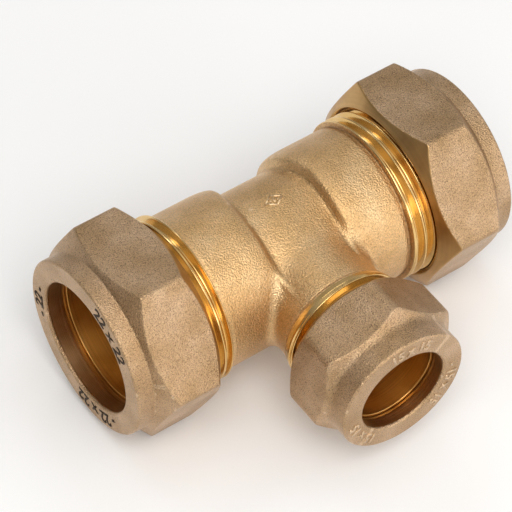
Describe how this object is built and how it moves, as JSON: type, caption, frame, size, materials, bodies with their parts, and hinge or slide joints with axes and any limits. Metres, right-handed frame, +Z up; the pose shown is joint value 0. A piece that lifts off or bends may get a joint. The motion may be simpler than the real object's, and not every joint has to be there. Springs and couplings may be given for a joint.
{
  "type": "compression reducing tee",
  "caption": "Brass plumbing tee with three compression ends, hexagonal union nuts and a smaller side branch",
  "frame": {"origin": "where the axis of the straight run crosses the axis of the side branch", "axes": "+X along the run towards the nut that stands further out, -Y out of the branch, +Z up, away from the surface that the fitting lies on"},
  "size_m": [0.072, 0.0526, 0.0336],
  "materials": {
    "forged_brass": "forged and sand-blasted",
    "nut_brass": "forged, with machined bore and thread",
    "ring_brass": "turned, smooth"
  },
  "bodies": {
    "body": {"tee_body": "forged_brass"},
    "left_ring_carrier": {"left_ring": "ring_brass"},
    "left_nut_body": {"left_nut": "nut_brass"},
    "right_ring_carrier": {"right_ring": "ring_brass"},
    "right_nut_body": {"right_nut": "nut_brass"},
    "branch_ring_carrier": {"branch_ring": "ring_brass"},
    "branch_nut_body": {"branch_nut": "nut_brass"}
  },
  "joints": [
    {"name": "left_ring_slide", "type": "slide", "parent": "body", "child": "left_ring_carrier", "axis": [-1, 0, 0], "range_m": [-0.00259, 0.00364]},
    {"name": "left_nut_turn", "type": "hinge", "parent": "left_ring_carrier", "child": "left_nut_body", "pos_m": [-0.03, 0, 0], "axis": [-1, 0, 0], "range_deg": [-514, 724]},
    {"name": "right_ring_slide", "type": "slide", "parent": "body", "child": "right_ring_carrier", "axis": [1, 0, 0], "range_m": [-0.00343, 0.0028]},
    {"name": "right_nut_turn", "type": "hinge", "parent": "right_ring_carrier", "child": "right_nut_body", "pos_m": [0.03, 0, 0], "axis": [1, 0, 0], "range_deg": [-681, 556]},
    {"name": "branch_ring_slide", "type": "slide", "parent": "body", "child": "branch_ring_carrier", "axis": [0, -1, 0], "range_m": [-0.00225, 0.00377]},
    {"name": "branch_nut_turn", "type": "hinge", "parent": "branch_ring_carrier", "child": "branch_nut_body", "pos_m": [0, -0.03, 0], "axis": [0, -1, 0], "range_deg": [-447, 749]}
  ],
  "couplings": [
    {"joint": "left_nut_turn", "follows": "left_ring_slide", "rad_per_m": 3463.2},
    {"joint": "right_nut_turn", "follows": "right_ring_slide", "rad_per_m": 3463.2},
    {"joint": "branch_nut_turn", "follows": "branch_ring_slide", "rad_per_m": 3463.2}
  ]
}
